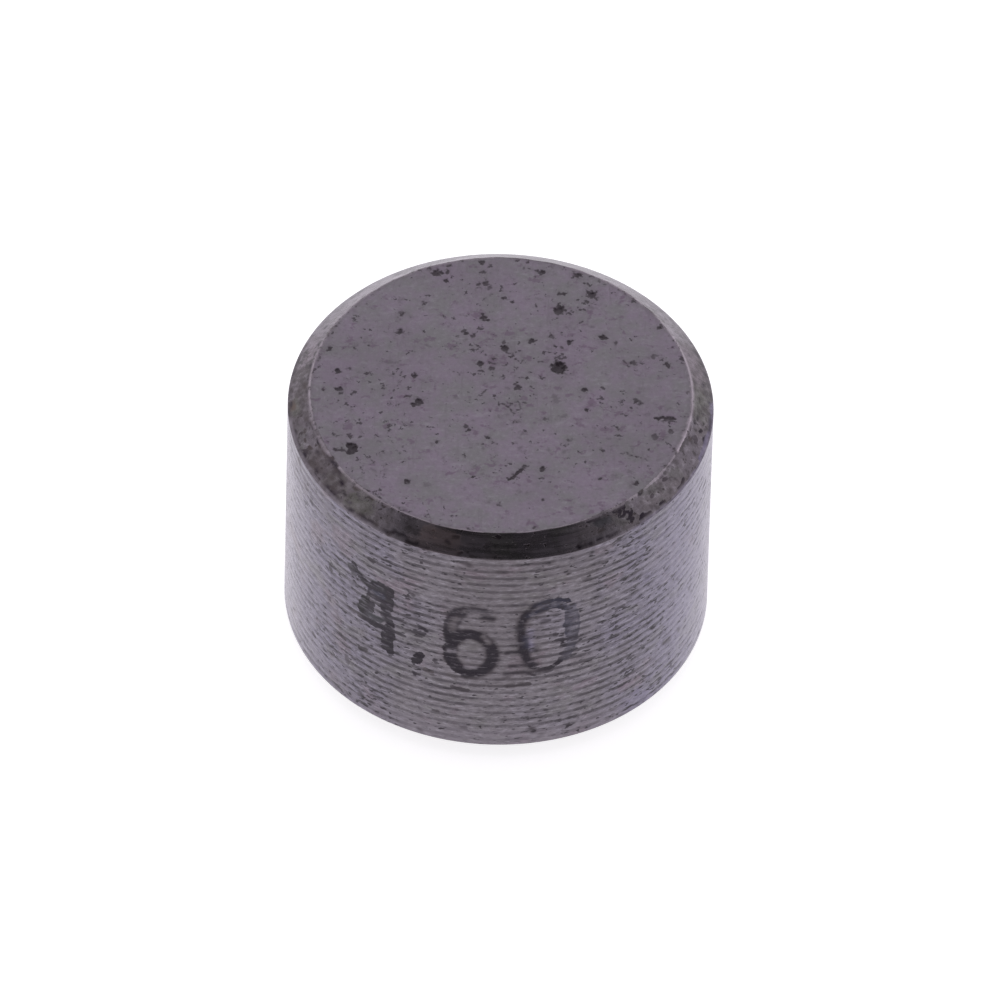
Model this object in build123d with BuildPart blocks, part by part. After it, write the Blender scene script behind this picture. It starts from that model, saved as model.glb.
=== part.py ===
import os

from build123d import *

# A valve shim: a thick round steel pad that sits between a valve stem and its follower, where
# its thickness sets the valve clearance. It is one piece, turned from bar, with flat ends.
# Millimetres. The origin is the centre of the lower end, and +Z is up.

# Body
diameter = 6.5
thickness = 4.6
chamfer_width = 0.33  # across the end, from the flat's rim to the side
chamfer_height = 0.26  # along the side
rim_radius = 0.03  # worn rounding of the flat's rim, where the chamfer starts

# Feed rings: fine grooves round the side, left there by the turning tool
ring_pitch = 0.148  # the tool's feed for each turn of the bar
ring_depth = 0.014
ring_width = 0.07
ring_margin = 0.06  # least plain side between the last ring and the chamfer

# Worked out from the sizes above
radius = diameter / 2
flat_radius = radius - chamfer_width
side_height = thickness - 2 * chamfer_height
ring_room = side_height - 2 * ring_margin - ring_width
ring_count = int(ring_room / ring_pitch) + 1

# The half section is drawn from the axis outwards and turned about it
with BuildPart() as valve_shim:
    with BuildSketch(Plane.XZ) as half_section:
        with BuildLine():
            Polyline(
                (0, 0),
                (flat_radius, 0),
                (radius, chamfer_height),
                (radius, thickness - chamfer_height),
                (flat_radius, thickness),
                (0, thickness),
                close=True,
            )
        make_face()
        flat_rims = half_section.vertices().group_by(Axis.X)[1]
        fillet(flat_rims, rim_radius)
        # The tool's point, a lozenge with its middle on the side, cuts one V for each ring
        with Locations((radius, thickness / 2)):
            with GridLocations(ring_width, ring_pitch, 1, ring_count):
                Polygon(
                    (-ring_depth, 0),
                    (0, -ring_width / 2),
                    (ring_depth, 0),
                    (0, ring_width / 2),
                    align=Align.CENTER,
                    mode=Mode.SUBTRACT,
                )
    revolve(axis=Axis.Z)
valve_shim.part.label = "valve_shim"

os.makedirs("parts", exist_ok=True)
export_step(valve_shim.part, "parts/valve_shim.step")
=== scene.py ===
from math import atan2, ceil, cos, hypot, pi, radians, sin

import bmesh
import bpy
import numpy as np
from mathutils import Matrix, Vector, geometry, noise


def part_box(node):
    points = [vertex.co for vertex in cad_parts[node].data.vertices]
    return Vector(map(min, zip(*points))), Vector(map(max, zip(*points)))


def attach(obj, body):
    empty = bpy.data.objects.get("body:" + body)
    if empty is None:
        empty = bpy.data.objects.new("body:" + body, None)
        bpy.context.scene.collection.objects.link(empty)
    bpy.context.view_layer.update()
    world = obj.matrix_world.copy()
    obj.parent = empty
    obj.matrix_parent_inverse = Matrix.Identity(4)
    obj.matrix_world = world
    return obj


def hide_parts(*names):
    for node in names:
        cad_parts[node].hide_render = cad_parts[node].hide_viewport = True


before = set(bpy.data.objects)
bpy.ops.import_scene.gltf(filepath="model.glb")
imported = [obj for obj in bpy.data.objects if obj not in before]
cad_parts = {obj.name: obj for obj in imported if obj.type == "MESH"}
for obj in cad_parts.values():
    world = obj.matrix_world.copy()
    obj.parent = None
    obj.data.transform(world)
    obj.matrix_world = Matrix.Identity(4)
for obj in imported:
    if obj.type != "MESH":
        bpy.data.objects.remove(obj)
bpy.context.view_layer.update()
mm = 0.001  # the scene is in metres
weld = 1e-6  # mesh points closer than this are one

boxLow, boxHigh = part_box("valve_shim")
radius = (boxHigh.x - boxLow.x) / 2
thickness = boxHigh.z - boxLow.z
middle = (boxHigh.z + boxLow.z) / 2


# Node helpers, for shader trees and geometry trees alike
class NodeGraph:
    def __init__(self, tree):
        self.tree = tree

    def feed(self, socket, value):
        if isinstance(value, bpy.types.NodeSocket):
            self.tree.links.new(value, socket)
        else:
            socket.default_value = value

    def add(self, kind, inputs=None, **settings):
        made = self.tree.nodes.new(kind)
        for name, value in settings.items():
            setattr(made, name, value)
        for name, value in (inputs or {}).items():
            self.feed(made.inputs[name], value)
        return made

    def math(self, operation, *values):
        made = self.add("ShaderNodeMath", operation=operation)
        for socket, value in zip(made.inputs, values):
            self.feed(socket, value)
        return made.outputs[0]

    def plus(self, first, second):
        return self.math("ADD", first, second)

    def minus(self, first, second):
        return self.math("SUBTRACT", first, second)

    def times(self, first, second):
        return self.math("MULTIPLY", first, second)

    def ramp(self, value, low, high, start=0.0, end=1.0):  # smooth step from start to end
        inputs = {"Value": value, "From Min": low, "From Max": high, "To Min": start, "To Max": end}
        return self.add("ShaderNodeMapRange", inputs, interpolation_type="SMOOTHSTEP").outputs[0]

    def noise(self, vector, scale, detail=2.0, roughness=0.5):
        inputs = {"Vector": vector, "Scale": scale, "Detail": detail, "Roughness": roughness}
        return self.add("ShaderNodeTexNoise", inputs).outputs[0]

    def stretch(self, vector, factors):  # squeezes or stretches a pattern along the axes
        made = self.add("ShaderNodeVectorMath", operation="MULTIPLY")
        self.feed(made.inputs[0], vector)
        made.inputs[1].default_value = factors
        return made.outputs[0]

    def blend(self, factor, first, second):  # mixes two colours, at a Mix node's sockets 6 and 7
        made = self.add("ShaderNodeMix", data_type="RGBA")
        for index, value in ((0, factor), (6, first), (7, second)):
            self.feed(made.inputs[index], value)
        return made.outputs[2]

    def wash(self, colour, pattern, low, high, most, over):  # lays a tone over, by a pattern
        return self.blend(self.ramp(pattern, low, high, 0.0, most), colour, over)


def tone(red, green, blue):  # a colour as it should look on screen, 0 to 255
    def linear(part):
        part /= 255
        return part / 12.92 if part <= 0.04045 else ((part + 0.055) / 1.055) ** 2.4

    return (linear(red), linear(green), linear(blue), 1.0)


# The turned side, with the feed rings that the tool left
turnedSide = {
    "chamferWidth": 0.33 * mm,
    "chamferHeight": 0.26 * mm,
    "ringPitch": 0.148 * mm,
    "ringDepth": 0.005 * mm,
    "ringWidth": 0.07 * mm,
    "ringMargin": 0.06 * mm,
    "rowsPerRing": 5,
    "ringSpread": 0.62,  # how far a worn ring's edge reaches, in ring widths
    "segments": 420,
    "frontShare": 0.45,  # how much closer the segments are in front, at the size mark
    "wear": 13.0,  # how quickly a ring deepens and fades along its length
    "ringShift": 3.17,  # sets each ring's wear apart from the next one's
    "seed": 3.7,
}
rowNudge = 1e-4  # keeps a row on the border of two rings in one of them
countNudge = 1e-6  # keeps rounding from losing a ring


def turnAt(side, index):  # the angle of a segment's edge, closer together in front
    even = 2 * pi * (index / side["segments"] - 0.5)
    return even - side["frontShare"] * sin(even)


def ringCount(side):
    room = thickness - 2 * side["chamferHeight"] - 2 * side["ringMargin"] - side["ringWidth"]
    return int(room / side["ringPitch"] + countNudge) + 1


def feedRingTree():
    tree = bpy.data.node_groups.new("feedRings", "GeometryNodeTree")
    sizes = ("Radius", "Low", "Ring pitch", "Ring depth", "Ring width", "Ring spread", "Ring shift")
    for name in (*sizes, "Front share", "Wear", "Seed"):
        tree.interface.new_socket(name, in_out="INPUT", socket_type="NodeSocketFloat")
    for name in ("Rings", "Rows per ring", "Segments"):
        tree.interface.new_socket(name, in_out="INPUT", socket_type="NodeSocketInt")
    tree.interface.new_socket("Steel", in_out="INPUT", socket_type="NodeSocketMaterial")
    tree.interface.new_socket("Geometry", in_out="OUTPUT", socket_type="NodeSocketGeometry")
    graph = NodeGraph(tree)
    given = graph.add("NodeGroupInput").outputs

    rows = graph.times(given["Rings"], given["Rows per ring"])
    sheet = graph.add(
        "GeometryNodeMeshGrid",
        {
            "Size X": 1.0,
            "Size Y": 1.0,
            "Vertices X": graph.plus(given["Segments"], 1),
            "Vertices Y": graph.plus(rows, 1),
        },
    )
    place = graph.add("GeometryNodeInputPosition").outputs[0]
    flat = graph.add("ShaderNodeSeparateXYZ", {"Vector": place}).outputs
    even = graph.times(flat["X"], 2 * pi)
    nearer = graph.times(graph.math("SINE", even), given["Front share"])
    angle = graph.minus(even, nearer)  # 0 in front, where the size mark is
    turn = graph.math("SINE", angle)
    face = graph.math("COSINE", angle)
    along = graph.times(graph.plus(flat["Y"], 0.5), given["Rings"])

    # Distance from the middle of the nearest ring
    nudged = graph.plus(along, rowNudge)
    phase = graph.minus(graph.math("FRACT", nudged), 0.5)
    off = graph.times(graph.math("ABSOLUTE", phase), given["Ring pitch"])
    share = graph.math("DIVIDE", off, graph.times(given["Ring width"], given["Ring spread"]))
    cut = graph.ramp(share, 1.0, 0.0)

    # Each ring deepens and fades on its own along its length
    ring = graph.times(graph.math("FLOOR", nudged), given["Ring shift"])
    parts = {"X": turn, "Y": face, "Z": graph.plus(ring, given["Seed"])}
    ringPlace = graph.add("ShaderNodeCombineXYZ", parts).outputs[0]
    fade = graph.noise(graph.stretch(ringPlace, (1.0, 1.0, 9.0)), given["Wear"], 3.0, 0.6)
    patch = graph.noise(graph.stretch(ringPlace, (1.0, 1.0, 0.03)), 1.3, 1.0)
    fade = graph.ramp(fade, 0.3, 0.68, 0.3, 1.3)
    patch = graph.ramp(patch, 0.3, 0.7, 0.75, 1.15)
    cut = graph.times(cut, graph.times(fade, patch))
    depth = graph.times(cut, given["Ring depth"])

    reach = graph.minus(given["Radius"], depth)
    height = graph.plus(graph.times(along, given["Ring pitch"]), given["Low"])
    parts = {
        "X": graph.times(reach, turn),
        "Y": graph.times(graph.times(reach, face), -1.0),
        "Z": height,
    }
    wrapped = graph.add("ShaderNodeCombineXYZ", parts).outputs[0]
    marked = graph.add(
        "GeometryNodeStoreNamedAttribute",
        {"Geometry": sheet.outputs["Mesh"], "Name": "groove", "Value": cut},
        data_type="FLOAT",
        domain="POINT",
    )
    tube = graph.add("GeometryNodeSetPosition", {"Geometry": marked.outputs[0], "Position": wrapped})
    closed = graph.add("GeometryNodeMergeByDistance", {"Geometry": tube.outputs[0], "Distance": weld})
    real = graph.add("GeometryNodeRealizeInstances", {"Geometry": closed.outputs[0]})
    dressed = {"Geometry": real.outputs[0], "Material": given["Steel"]}
    painted = graph.add("GeometryNodeSetMaterial", dressed)
    graph.add("NodeGroupOutput", {"Geometry": painted.outputs[0]})
    return tree


def makeTurnedSide(side, steel):
    rings = ringCount(side)
    carrier = bpy.data.objects.new("turnedSide", bpy.data.meshes.new("turnedSide"))
    bpy.context.scene.collection.objects.link(carrier)
    modifier = carrier.modifiers.new("feedRings", "NODES")
    modifier.node_group = feedRingTree()
    values = {
        "Radius": radius,
        "Low": middle - rings * side["ringPitch"] / 2,
        "Ring pitch": side["ringPitch"],
        "Ring depth": side["ringDepth"],
        "Ring width": side["ringWidth"],
        "Ring spread": side["ringSpread"],
        "Ring shift": side["ringShift"],
        "Front share": side["frontShare"],
        "Wear": side["wear"],
        "Seed": side["seed"],
        "Rings": rings,
        "Rows per ring": side["rowsPerRing"],
        "Segments": side["segments"],
        "Steel": steel,
    }
    for item in modifier.node_group.interface.items_tree:
        if item.in_out == "INPUT":
            modifier[item.identifier] = values[item.name]
    carrier.update_tag()
    evaluated = carrier.evaluated_get(bpy.context.evaluated_depsgraph_get())
    mesh = bpy.data.meshes.new_from_object(evaluated)
    bpy.data.objects.remove(carrier)
    print("turned side:", rings, "rings,", len(mesh.polygons), "faces")
    return mesh


# Both ends: a chamfer, a worn rim and a flat with rust pits
shimEnd = {
    "chamferRows": 12,
    "rimRadius": 0.03 * mm,
    "rimRows": 4,
    "rimWander": 0.022 * mm,  # the rim is a little uneven all round
    "rimWaves": (2.3, 9.0),  # coarse and fine waves of that, with a weaker fine one
    "rimFine": 0.6,
    "rimSeeds": (9.0, 5.0),  # of the lower and the upper rim
    "cornerRadius": 0.008 * mm,  # just breaks the edge between chamfer and side
    "cornerRows": 2,
    "spacing": 0.08 * mm,  # between mesh points on the plain flat
    "pitSpacing": 0.022 * mm,  # and in a pit
    "pitMargin": 0.03 * mm,
    "pitCell": 0.7,  # of pitSpacing; a cell of this size keeps one mesh point
    "pitDepth": 0.3,  # of a pit's radius
    "pitWall": 0.6,  # of the radius too
}
unevenSizes = (0.045, 0.015)  # of the wander in the pits' edges


def inTone(name, strokes):  # strokes of one tone, as half width, load, tone and path
    return [(half, load, name, path) for half, load, path in strokes]


# Pits on the upper flat: x to the right and y to the back of the mark, radius, depth of colour
upperPits = [
    (0.87, 0.6, 0.135, 1.0), (-2.26, -1.17, 0.08, 1.0), (-2.27, -1.29, 0.075, 1.0),
    (-2.22, -1.23, 0.085, 1.0), (-2.28, -0.97, 0.05, 0.7), (-2.12, -0.98, 0.035, 0.6),
    (0.86, 1.82, 0.1, 0.85), (0.86, 1.9, 0.05, 0.8), (1.35, 2.17, 0.085, 0.8),
    (1.42, 2.1, 0.04, 0.7), (-0.3, 1.62, 0.06, 0.9), (-0.25, 1.57, 0.04, 0.8),
    (0.04, 0.98, 0.075, 0.8), (0.02, 1.1, 0.04, 0.6), (0.16, 0.82, 0.04, 0.7),
    (-0.33, 0.65, 0.06, 0.9), (-0.16, 0.53, 0.045, 0.7), (-0.56, 1.27, 0.045, 0.8),
    (-0.46, 1.22, 0.04, 0.7), (0.43, 1.15, 0.05, 0.9), (0.75, 1.25, 0.045, 0.5),
    (1.02, 1.15, 0.05, 0.9), (0.82, 1.05, 0.03, 0.6), (0.9, 1.03, 0.025, 0.6),
    (1.53, 1.26, 0.065, 0.9), (1.73, 1.16, 0.035, 0.6), (0.25, 0.15, 0.06, 0.8),
    (0.22, 0.24, 0.035, 0.6), (1.27, 0.14, 0.055, 0.9), (1.31, -0.28, 0.04, 1.0),
    (0.68, -0.5, 0.045, 0.5), (-1.24, -0.2, 0.075, 0.9), (-1.33, -0.27, 0.05, 0.9),
    (-1.4, -0.1, 0.04, 0.6), (-1.32, 0.35, 0.055, 0.8), (-2.46, 0.02, 0.065, 0.8),
    (-2.45, -0.06, 0.04, 0.7), (-2.7, 0.01, 0.035, 0.6), (-2.5, 0.4, 0.06, 0.9),
    (-2.3, 0.45, 0.035, 0.5), (-2.64, 0.87, 0.05, 0.8), (-2.8, 0.68, 0.035, 0.7),
    (-1.57, 1.27, 0.06, 0.9), (-1.66, 1.28, 0.025, 0.7), (-1.55, 1.66, 0.055, 0.4),
    (-1.22, 1.9, 0.04, 0.5), (-0.88, 2.38, 0.04, 0.9), (-1.05, 2.55, 0.07, 0.9),
    (-0.98, 2.55, 0.05, 0.8), (-0.86, 2.58, 0.05, 0.8), (-0.85, 2.72, 0.05, 0.8),
    (-0.38, 2.33, 0.045, 0.7), (-0.28, 2.35, 0.06, 0.7), (-0.22, 2.26, 0.05, 0.5),
    (-0.32, 2.6, 0.045, 0.6), (-0.34, 2.8, 0.05, 0.7), (-0.22, 2.72, 0.035, 0.7),
    (0.6, 2.62, 0.045, 0.9), (0.5, 2.64, 0.03, 0.8), (0.18, 2.87, 0.035, 0.8),
    (0.36, 2.84, 0.035, 0.8), (1.13, 2.58, 0.06, 0.8), (1.07, 2.62, 0.035, 0.7),
    (1.84, 2.24, 0.035, 0.9), (0.85, 2.17, 0.04, 0.7), (0.92, 2.17, 0.035, 0.7),
    (0.13, 1.97, 0.035, 0.8), (0.0, 2.03, 0.03, 0.7), (1.2, 1.58, 0.035, 0.7),
    (2.4, 1.5, 0.045, 0.7), (2.02, 0.74, 0.055, 0.6), (2.12, 0.78, 0.03, 0.4),
    (2.3, 0.88, 0.05, 0.5), (2.52, 0.73, 0.05, 0.6), (2.55, 0.66, 0.03, 0.6),
    (2.86, 0.15, 0.035, 0.8), (2.36, -0.82, 0.07, 0.5), (2.6, -0.69, 0.045, 0.6),
    (2.06, -0.06, 0.05, 0.6), (2.12, -0.12, 0.045, 0.5), (1.98, -0.22, 0.03, 0.7),
    (1.78, -0.66, 0.035, 0.8), (0.66, -1.55, 0.055, 0.9), (2.1, -1.8, 0.05, 0.9),
    (1.53, -1.73, 0.035, 0.8), (0.67, -2.2, 0.03, 0.8), (0.02, -2.33, 0.035, 0.7),
    (-1.38, -1.9, 0.055, 0.9), (-0.4, -1.75, 0.035, 0.9), (-0.47, -0.77, 0.045, 0.8),
    (-0.18, -0.93, 0.035, 0.8), (-0.95, -1.05, 0.035, 0.9), (-0.07, -1.04, 0.03, 0.5),
    (1.05, -0.93, 0.04, 0.5), (1.55, -1.12, 0.04, 0.3), (0.55, -2.8, 0.03, 0.7),
]

# Scores on the same flat: both ends, half width, depth of colour
upperScores = [
    ((0.17, -1.78), (0.4, -1.5), 0.036, 1.0),
    ((0.36, -1.52), (0.44, -1.5), 0.018, 0.5),
    ((2.38, -0.41), (2.64, -0.41), 0.04, 1.0),
    ((-2.52, -1.25), (-2.36, -1.27), 0.028, 0.8),
    ((0.02, -0.18), (0.19, -0.36), 0.016, 0.7),
    ((0.19, -0.36), (0.3, -0.3), 0.018, 0.6),
    ((0.3, -0.3), (0.28, -0.14), 0.016, 0.4),
    ((0.28, -0.14), (0.14, -0.18), 0.012, 0.4),
    ((0.04, 0.92), (0.26, 0.72), 0.012, 0.7),
    ((0.05, 0.62), (-0.2, 0.66), 0.012, 0.5),
    ((0.66, 0.72), (0.52, 0.7), 0.014, 0.6),
    ((-1.02, 2.62), (-1.16, 2.6), 0.018, 0.6),
    ((1.98, -1.2), (2.25, -1.3), 0.016, 0.45),
    ((1.86, -1.16), (1.94, -1.18), 0.02, 0.5),
    ((0.25, 0.36), (0.38, 0.36), 0.013, 0.5),
    ((-0.72, 0.46), (-0.62, 0.42), 0.014, 0.6),
    ((1.86, 0.78), (1.94, 0.68), 0.02, 0.6),
    ((2.2, 0.86), (2.42, 0.92), 0.014, 0.35),
    ((0.3, 2.72), (0.48, 2.66), 0.012, 0.6),
]

# Light scuffs on it, as half width, load, tone and path
upperScuffs = inTone(
    "bare",
    [
        (0.012, 0.6, [(-0.42, -0.52), (-0.3, -0.6)]),
        (0.01, 0.55, [(-0.16, -0.08), (-0.12, -0.3)]),
        (0.01, 0.5, [(0.02, -0.36), (0.04, -0.62)]),
        (0.012, 0.6, [(-0.95, -0.26), (-0.84, -0.18)]),
        (0.01, 0.55, [(-0.5, -1.02), (-0.34, -1.06)]),
        (0.012, 0.55, [(0.86, 0.02), (0.92, 0.22)]),
        (0.01, 0.5, [(-1.62, 1.52), (-1.4, 1.6)]),
        (0.012, 0.5, [(1.18, 0.96), (1.3, 0.88)]),
        (0.01, 0.5, [(0.56, -1.86), (0.74, -1.94)]),
        (0.01, 0.5, [(-0.3, 2.0), (-0.1, 2.06)]),
        (0.01, 0.45, [(-1.74, -0.66), (-1.66, -0.94)]),
        (0.012, 0.5, [(0.3, 0.52), (0.46, 0.5)]),
    ],
)

# Where fine specks lie thick on it, drawn the same way
upperPatches = inTone(
    "rust",
    [
        (0.42, 0.85, [(-0.2, 0.9), (0.2, 0.7)]),
        (0.45, 0.85, [(-2.05, 0.7), (-1.7, 0.2)]),
        (0.3, 0.85, [(-0.4, 0.6), (-0.05, 0.5)]),
        (0.32, 0.85, [(-1.4, -0.3), (-1.28, 0.1)]),
        (0.3, 0.8, [(0.1, -0.25), (0.25, 0.15)]),
        (0.45, 0.8, [(1.6, -0.9), (2.4, -1.2)]),
        (0.45, 0.75, [(2.1, -0.2), (2.5, -0.6)]),
        (0.3, 0.75, [(-0.95, 2.5), (-0.2, 2.5)]),
        (0.25, 0.75, [(-0.3, 2.1), (-0.3, 2.8)]),
        (0.3, 0.75, [(-2.55, 0.4), (-2.4, -0.1)]),
        (0.3, 0.75, [(-2.3, -1.0), (-2.0, -1.3)]),
        (0.3, 0.75, [(0.8, 1.0), (1.0, 1.7)]),
        (0.3, 0.7, [(-1.6, 1.2), (-1.3, 0.8)]),
        (0.25, 0.7, [(2.0, 0.8), (2.6, 0.7)]),
        (0.2, 0.7, [(0.5, -1.6), (0.6, -2.1)]),
    ],
)

lowerPits = {"count": 46, "least": 0.03, "most": 0.11, "load": (0.4, 1.0), "border": 0.05, "seed": 11}


def flatStrokes(pits, scores):  # every pit and score as half width, load, tone and path
    strokes = [(size, load, "rust", [(x, y)]) for x, y, size, load in pits]
    return strokes + [(size, load, "rust", [start, end]) for start, end, size, load in scores]


def scatterPits(wanted, reach):  # the hidden end has its own rust pits, with none in a row
    pick = np.random.default_rng(wanted["seed"])
    pits = []
    while len(pits) < wanted["count"]:
        x, y = pick.uniform(-1, 1, 2) * reach
        size = wanted["least"] + (wanted["most"] - wanted["least"]) * pick.random() ** 3
        if hypot(x, y) + size < reach - wanted["border"]:
            pits.append((x, y, size, pick.uniform(*wanted["load"])))
    return pits


def lineDistance(points, path):  # from each point to the nearest place on the path
    best = np.full(len(points), np.inf)
    for start, end in zip(path, path[1:] if len(path) > 1 else path):
        start, way = np.array(start), np.subtract(end, start)
        length = max(way @ way, 1e-18)  # squared, and never nothing
        share = np.clip((points - start) @ way / length, 0, 1)
        best = np.minimum(best, np.hypot(*(points - start - share[:, None] * way).T))
    return best


def hexagonal(centre, reach, spacing):  # evenly spread points in a disc
    rise = spacing * 0.866  # from row to row of even-sided triangles
    count = ceil(reach / rise)
    rows = np.arange(-count, count + 1)
    across, up = np.meshgrid(rows, rows)
    x = (across + 0.5 * (up % 2)) * spacing
    y = up * rise
    inside = np.hypot(x, y) <= reach
    return np.stack([x[inside] + centre[0], y[inside] + centre[1]], 1)


def flatPoints(end, strokes, rimReach):  # closer together in pits and scores
    spacing, fine, margin = (end[name] / mm for name in ("spacing", "pitSpacing", "pitMargin"))
    reach = (rimReach - end["rimWander"]) / mm - fine
    points = [hexagonal((0, 0), reach, spacing)]
    for size, _, _, path in strokes:
        centre = np.mean(path, 0)
        half = max(hypot(*(np.array(point) - centre)) for point in path)
        around = hexagonal(centre, half + size + margin, fine)
        points.append(around[lineDistance(around, path) < size + margin])
    points = np.concatenate(points)
    points = points[np.hypot(*points.T) < reach]
    cells = np.round(points / (fine * end["pitCell"])).astype(int)
    _, first = np.unique(cells, axis=0, return_index=True)
    return points[np.sort(first)] * mm


# From the side's last row in to the flat's rim, as radius and depth below the end
def endProfile(end, side):
    slope = atan2(side["chamferHeight"], side["chamferWidth"])
    flatRadius = radius - side["chamferWidth"]
    profile = []
    turn = pi / 2 - slope
    corner = end["cornerRadius"]
    cornerReach = corner * np.tan(turn / 2)
    for step in range(end["cornerRows"] + 1):
        bend = turn * step / end["cornerRows"]
        centreDepth = side["chamferHeight"] + cornerReach
        profile.append((radius - corner + corner * cos(bend), centreDepth - corner * sin(bend)))
    rim = end["rimRadius"]
    rimReach = rim * np.tan(slope / 2)
    start = (flatRadius + rimReach * cos(slope), rimReach * sin(slope))
    last = profile[-1]
    for step in range(1, end["chamferRows"]):
        share = step / end["chamferRows"]
        profile.append((last[0] + (start[0] - last[0]) * share, last[1] + (start[1] - last[1]) * share))
    for step in range(end["rimRows"] + 1):
        bend = slope * (1 - step / end["rimRows"])
        profile.append((flatRadius - rimReach + rim * sin(bend), rim * (1 - cos(bend))))
    return profile


def rimWander(end, angle, top):  # how far the rim lies out of round
    place = Vector((sin(angle), cos(angle), end["rimSeeds"][top]))
    coarse, fine = (noise.noise(place * wave) for wave in end["rimWaves"])
    return end["rimWander"] * (coarse + end["rimFine"] * fine)


def addEnd(shape, end, side, strokes, top, materials):
    segments = side["segments"]
    angles = [turnAt(side, index) for index in range(segments)]
    tubeEnd = ringCount(side) * side["ringPitch"] / 2
    profile = [(radius, thickness / 2 - tubeEnd)] + endProfile(end, side)
    loops = []
    uneven = [rimWander(end, angle, top) for angle in angles]
    for row, (reach, depth) in enumerate(profile):
        z = middle + (thickness / 2 - depth) * (1 if top else -1)
        share = min(max((row - end["cornerRows"] - 1) / end["chamferRows"], 0), 1)  # none at the side
        reaches = [reach + share * shift for shift in uneven]
        loops.append([shape.verts.new((r * sin(a), -r * cos(a), z)) for r, a in zip(reaches, angles)])
    for row, (lower, upper) in enumerate(zip(loops, loops[1:])):
        for index in range(segments):
            after = (index + 1) % segments
            corners = [lower[index], lower[after], upper[after], upper[index]]
            face = shape.faces.new(corners if top else corners[::-1])
            face.material_index = materials["side"] if row == 0 else materials["chamfer"]
    rim = loops[-1]
    rimPoints = [Vector((point.co.x, point.co.y)) for point in rim]
    inner = [Vector(point) for point in flatPoints(end, strokes, profile[-1][0])]
    border = [(index, (index + 1) % segments) for index in range(segments)]
    filled = geometry.delaunay_2d_cdt(rimPoints + inner, border, [], 1, 1e-9)  # 1 keeps what is inside
    points, _, faces, origin, _, _ = filled
    flatZ = rim[0].co.z
    made = []
    for point, source in zip(points, origin):
        known = [index for index in source if index < segments]
        made.append(rim[known[0]] if known else shape.verts.new((point.x, point.y, flatZ)))
    for corners in faces:
        face = shape.faces.new([made[index] for index in corners])
        face.normal_update()
        if (face.normal.z > 0) != top:
            face.normal_flip()
        face.material_index = materials["flat"]


# How far each chart reaches past the borders of its own part, in millimetres
chartMargin = {"flat": 1e-4, "sideDepth": 0.1, "sideEdge": 0.02, "rim": 0.03, "chamferFoot": 0.005}


def readPlaces(mesh):
    places = np.empty(len(mesh.vertices) * 3)
    mesh.vertices.foreach_get("co", places)
    return places.reshape(-1, 3) / mm


def turned(places):  # millimetres round the side, from the front
    return np.arctan2(places[:, 0], -places[:, 1]) * radius / mm


def flatChart(places, side, top):  # which mesh points lie on the flat, and where
    flatZ = (boxHigh.z if top else boxLow.z) / mm
    reach = (radius - side["chamferWidth"]) / mm
    level = abs(places[:, 2] - flatZ) < chartMargin["flat"]
    chosen = np.flatnonzero(level & (np.hypot(*places[:, :2].T) < reach))
    return chosen, places[chosen, :2]


def sideChart(places, side):  # round from the front, and up from the side's lower edge
    reach = np.hypot(*places[:, :2].T)
    foot = (boxLow.z + side["chamferHeight"]) / mm
    up = places[:, 2] - foot
    height = (thickness - 2 * side["chamferHeight"]) / mm
    edge = chartMargin["sideEdge"]
    outer = reach > radius / mm - chartMargin["sideDepth"]
    chosen = np.flatnonzero(outer & (up > -edge) & (up < height + edge))
    return chosen, np.stack([turned(places[chosen]), up[chosen]], 1)


def chamferChart(places, side, top):  # round from the front, and out from the flat's rim
    reach = np.hypot(*places[:, :2].T)
    rim = (radius - side["chamferWidth"]) / mm
    depth = abs(places[:, 2] - (boxHigh.z if top else boxLow.z) / mm)
    outer = reach > rim - chartMargin["rim"]
    shallow = depth < side["chamferHeight"] / mm + chartMargin["chamferFoot"]
    chosen = np.flatnonzero(outer & shallow)
    slope = hypot(side["chamferWidth"], side["chamferHeight"]) / side["chamferWidth"]
    return chosen, np.stack([turned(places[chosen]), (reach[chosen] - rim) * slope], 1)


def wander(points, sizes):  # an uneven edge, the same each time
    field = np.zeros(len(points))
    for size in sizes:
        field += [noise.noise(Vector((x, y, 0.0)) / size) * size for x, y in points]
    return field


def sinkPits(mesh, places, chart, strokes, end, top):  # rust pits lie a little below the flat
    chosen, points = chart
    uneven = wander(points, unevenSizes)
    sunk = np.zeros(len(chosen))
    for size, load, _, path in strokes:
        inside = size - lineDistance(points, path) + uneven
        bowl = np.clip(inside / (end["pitWall"] * size), 0, 1)
        sunk = np.maximum(sunk, bowl * bowl * (3 - 2 * bowl) * size * end["pitDepth"] * load)
    places[chosen, 2] -= sunk * (1 if top else -1)
    mesh.vertices.foreach_set("co", (places * mm).ravel())


def paintMarks(layer, chart, strokes, soft, uneven=0.0, full=1.0):  # later strokes go over
    chosen, points = chart
    tones, loads, cover = layer[chosen, :3], layer[chosen, 3], layer[chosen, 4]
    for half, load, name, path in strokes:
        here = np.clip(0.5 + (half - lineDistance(points, path) + uneven) / soft, 0, 1) * full
        after = cover + here - cover * here
        share = here / np.maximum(after, 1e-6)  # never divides by nothing
        tones += (np.array(markTones[name][:3]) - tones) * share[:, None]
        loads += (load - loads) * share
        cover = np.maximum(cover, here)
    layer[chosen, :3], layer[chosen, 3], layer[chosen, 4] = tones, loads, cover


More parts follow.
